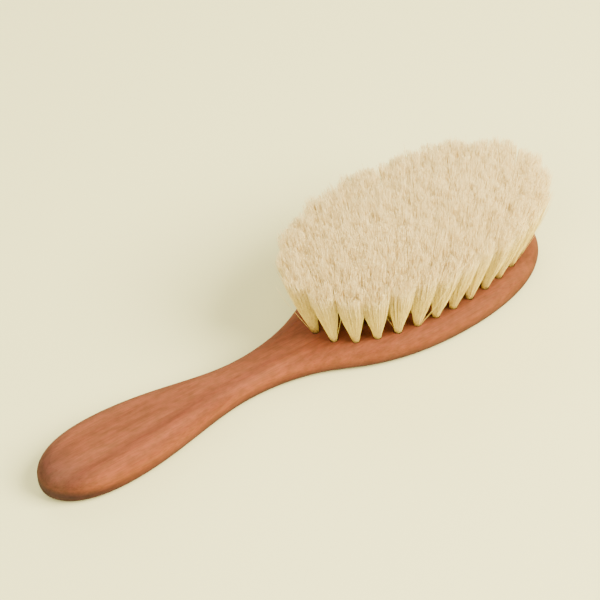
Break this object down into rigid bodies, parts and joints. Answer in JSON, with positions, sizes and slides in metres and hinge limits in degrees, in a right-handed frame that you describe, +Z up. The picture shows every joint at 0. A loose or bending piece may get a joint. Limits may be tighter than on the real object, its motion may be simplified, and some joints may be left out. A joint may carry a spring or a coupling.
{
  "type": "clothes brush",
  "caption": "Long-handled clothes brush: one shaped piece of wood, an oval head and a dense, splayed field of pale soft hair tufts.",
  "frame": {"origin": "middle of the brush's footprint, on the plane of its flat wooden back", "axes": "+X along the handle towards the head end, +Y across the head, +Z up out of the back towards the hair tips"},
  "size_m": [0.22, 0.064, 0.043],
  "materials": {
    "pearwood": "oiled satin, fine close grain along the handle",
    "goat_hair": "soft natural cream hair, slightly wavy, trimmed level",
    "anchor_wire": "bright flat wire"
  },
  "bodies": {
    "root": {"centre_row_anchors": "anchor_wire", "centre_row_tufts": "goat_hair", "outer_row_anchors": "anchor_wire", "outer_tuft_01": "goat_hair", "outer_tuft_02": "goat_hair", "outer_tuft_03": "goat_hair", "outer_tuft_04": "goat_hair", "outer_tuft_05": "goat_hair", "outer_tuft_06": "goat_hair", "outer_tuft_07": "goat_hair", "outer_tuft_08": "goat_hair", "outer_tuft_09": "goat_hair", "outer_tuft_10": "goat_hair", "outer_tuft_11": "goat_hair", "outer_tuft_12": "goat_hair", "outer_tuft_13": "goat_hair", "outer_tuft_14": "goat_hair", "outer_tuft_15": "goat_hair", "outer_tuft_16": "goat_hair", "outer_tuft_17": "goat_hair", "outer_tuft_18": "goat_hair", "outer_tuft_19": "goat_hair", "outer_tuft_20": "goat_hair", "outer_tuft_21": "goat_hair", "outer_tuft_22": "goat_hair", "outer_tuft_23": "goat_hair", "outer_tuft_24": "goat_hair", "outer_tuft_25": "goat_hair", "outer_tuft_26": "goat_hair", "outer_tuft_27": "goat_hair", "outer_tuft_28": "goat_hair", "second_row_anchors": "anchor_wire", "second_row_tuft_01": "goat_hair", "second_row_tuft_02": "goat_hair", "second_row_tuft_03": "goat_hair", "second_row_tuft_04": "goat_hair", "second_row_tuft_05": "goat_hair", "second_row_tuft_06": "goat_hair", "second_row_tuft_07": "goat_hair", "second_row_tuft_08": "goat_hair", "second_row_tuft_09": "goat_hair", "second_row_tuft_10": "goat_hair", "second_row_tuft_11": "goat_hair", "second_row_tuft_12": "goat_hair", "second_row_tuft_13": "goat_hair", "second_row_tuft_14": "goat_hair", "second_row_tuft_15": "goat_hair", "second_row_tuft_16": "goat_hair", "second_row_tuft_17": "goat_hair", "second_row_tuft_18": "goat_hair", "second_row_tuft_19": "goat_hair", "second_row_tuft_20": "goat_hair", "second_row_tuft_21": "goat_hair", "second_row_tuft_22": "goat_hair", "second_row_tuft_23": "goat_hair", "third_row_anchors": "anchor_wire", "third_row_tufts": "goat_hair", "wooden_body": "pearwood"}
  },
  "joints": []
}
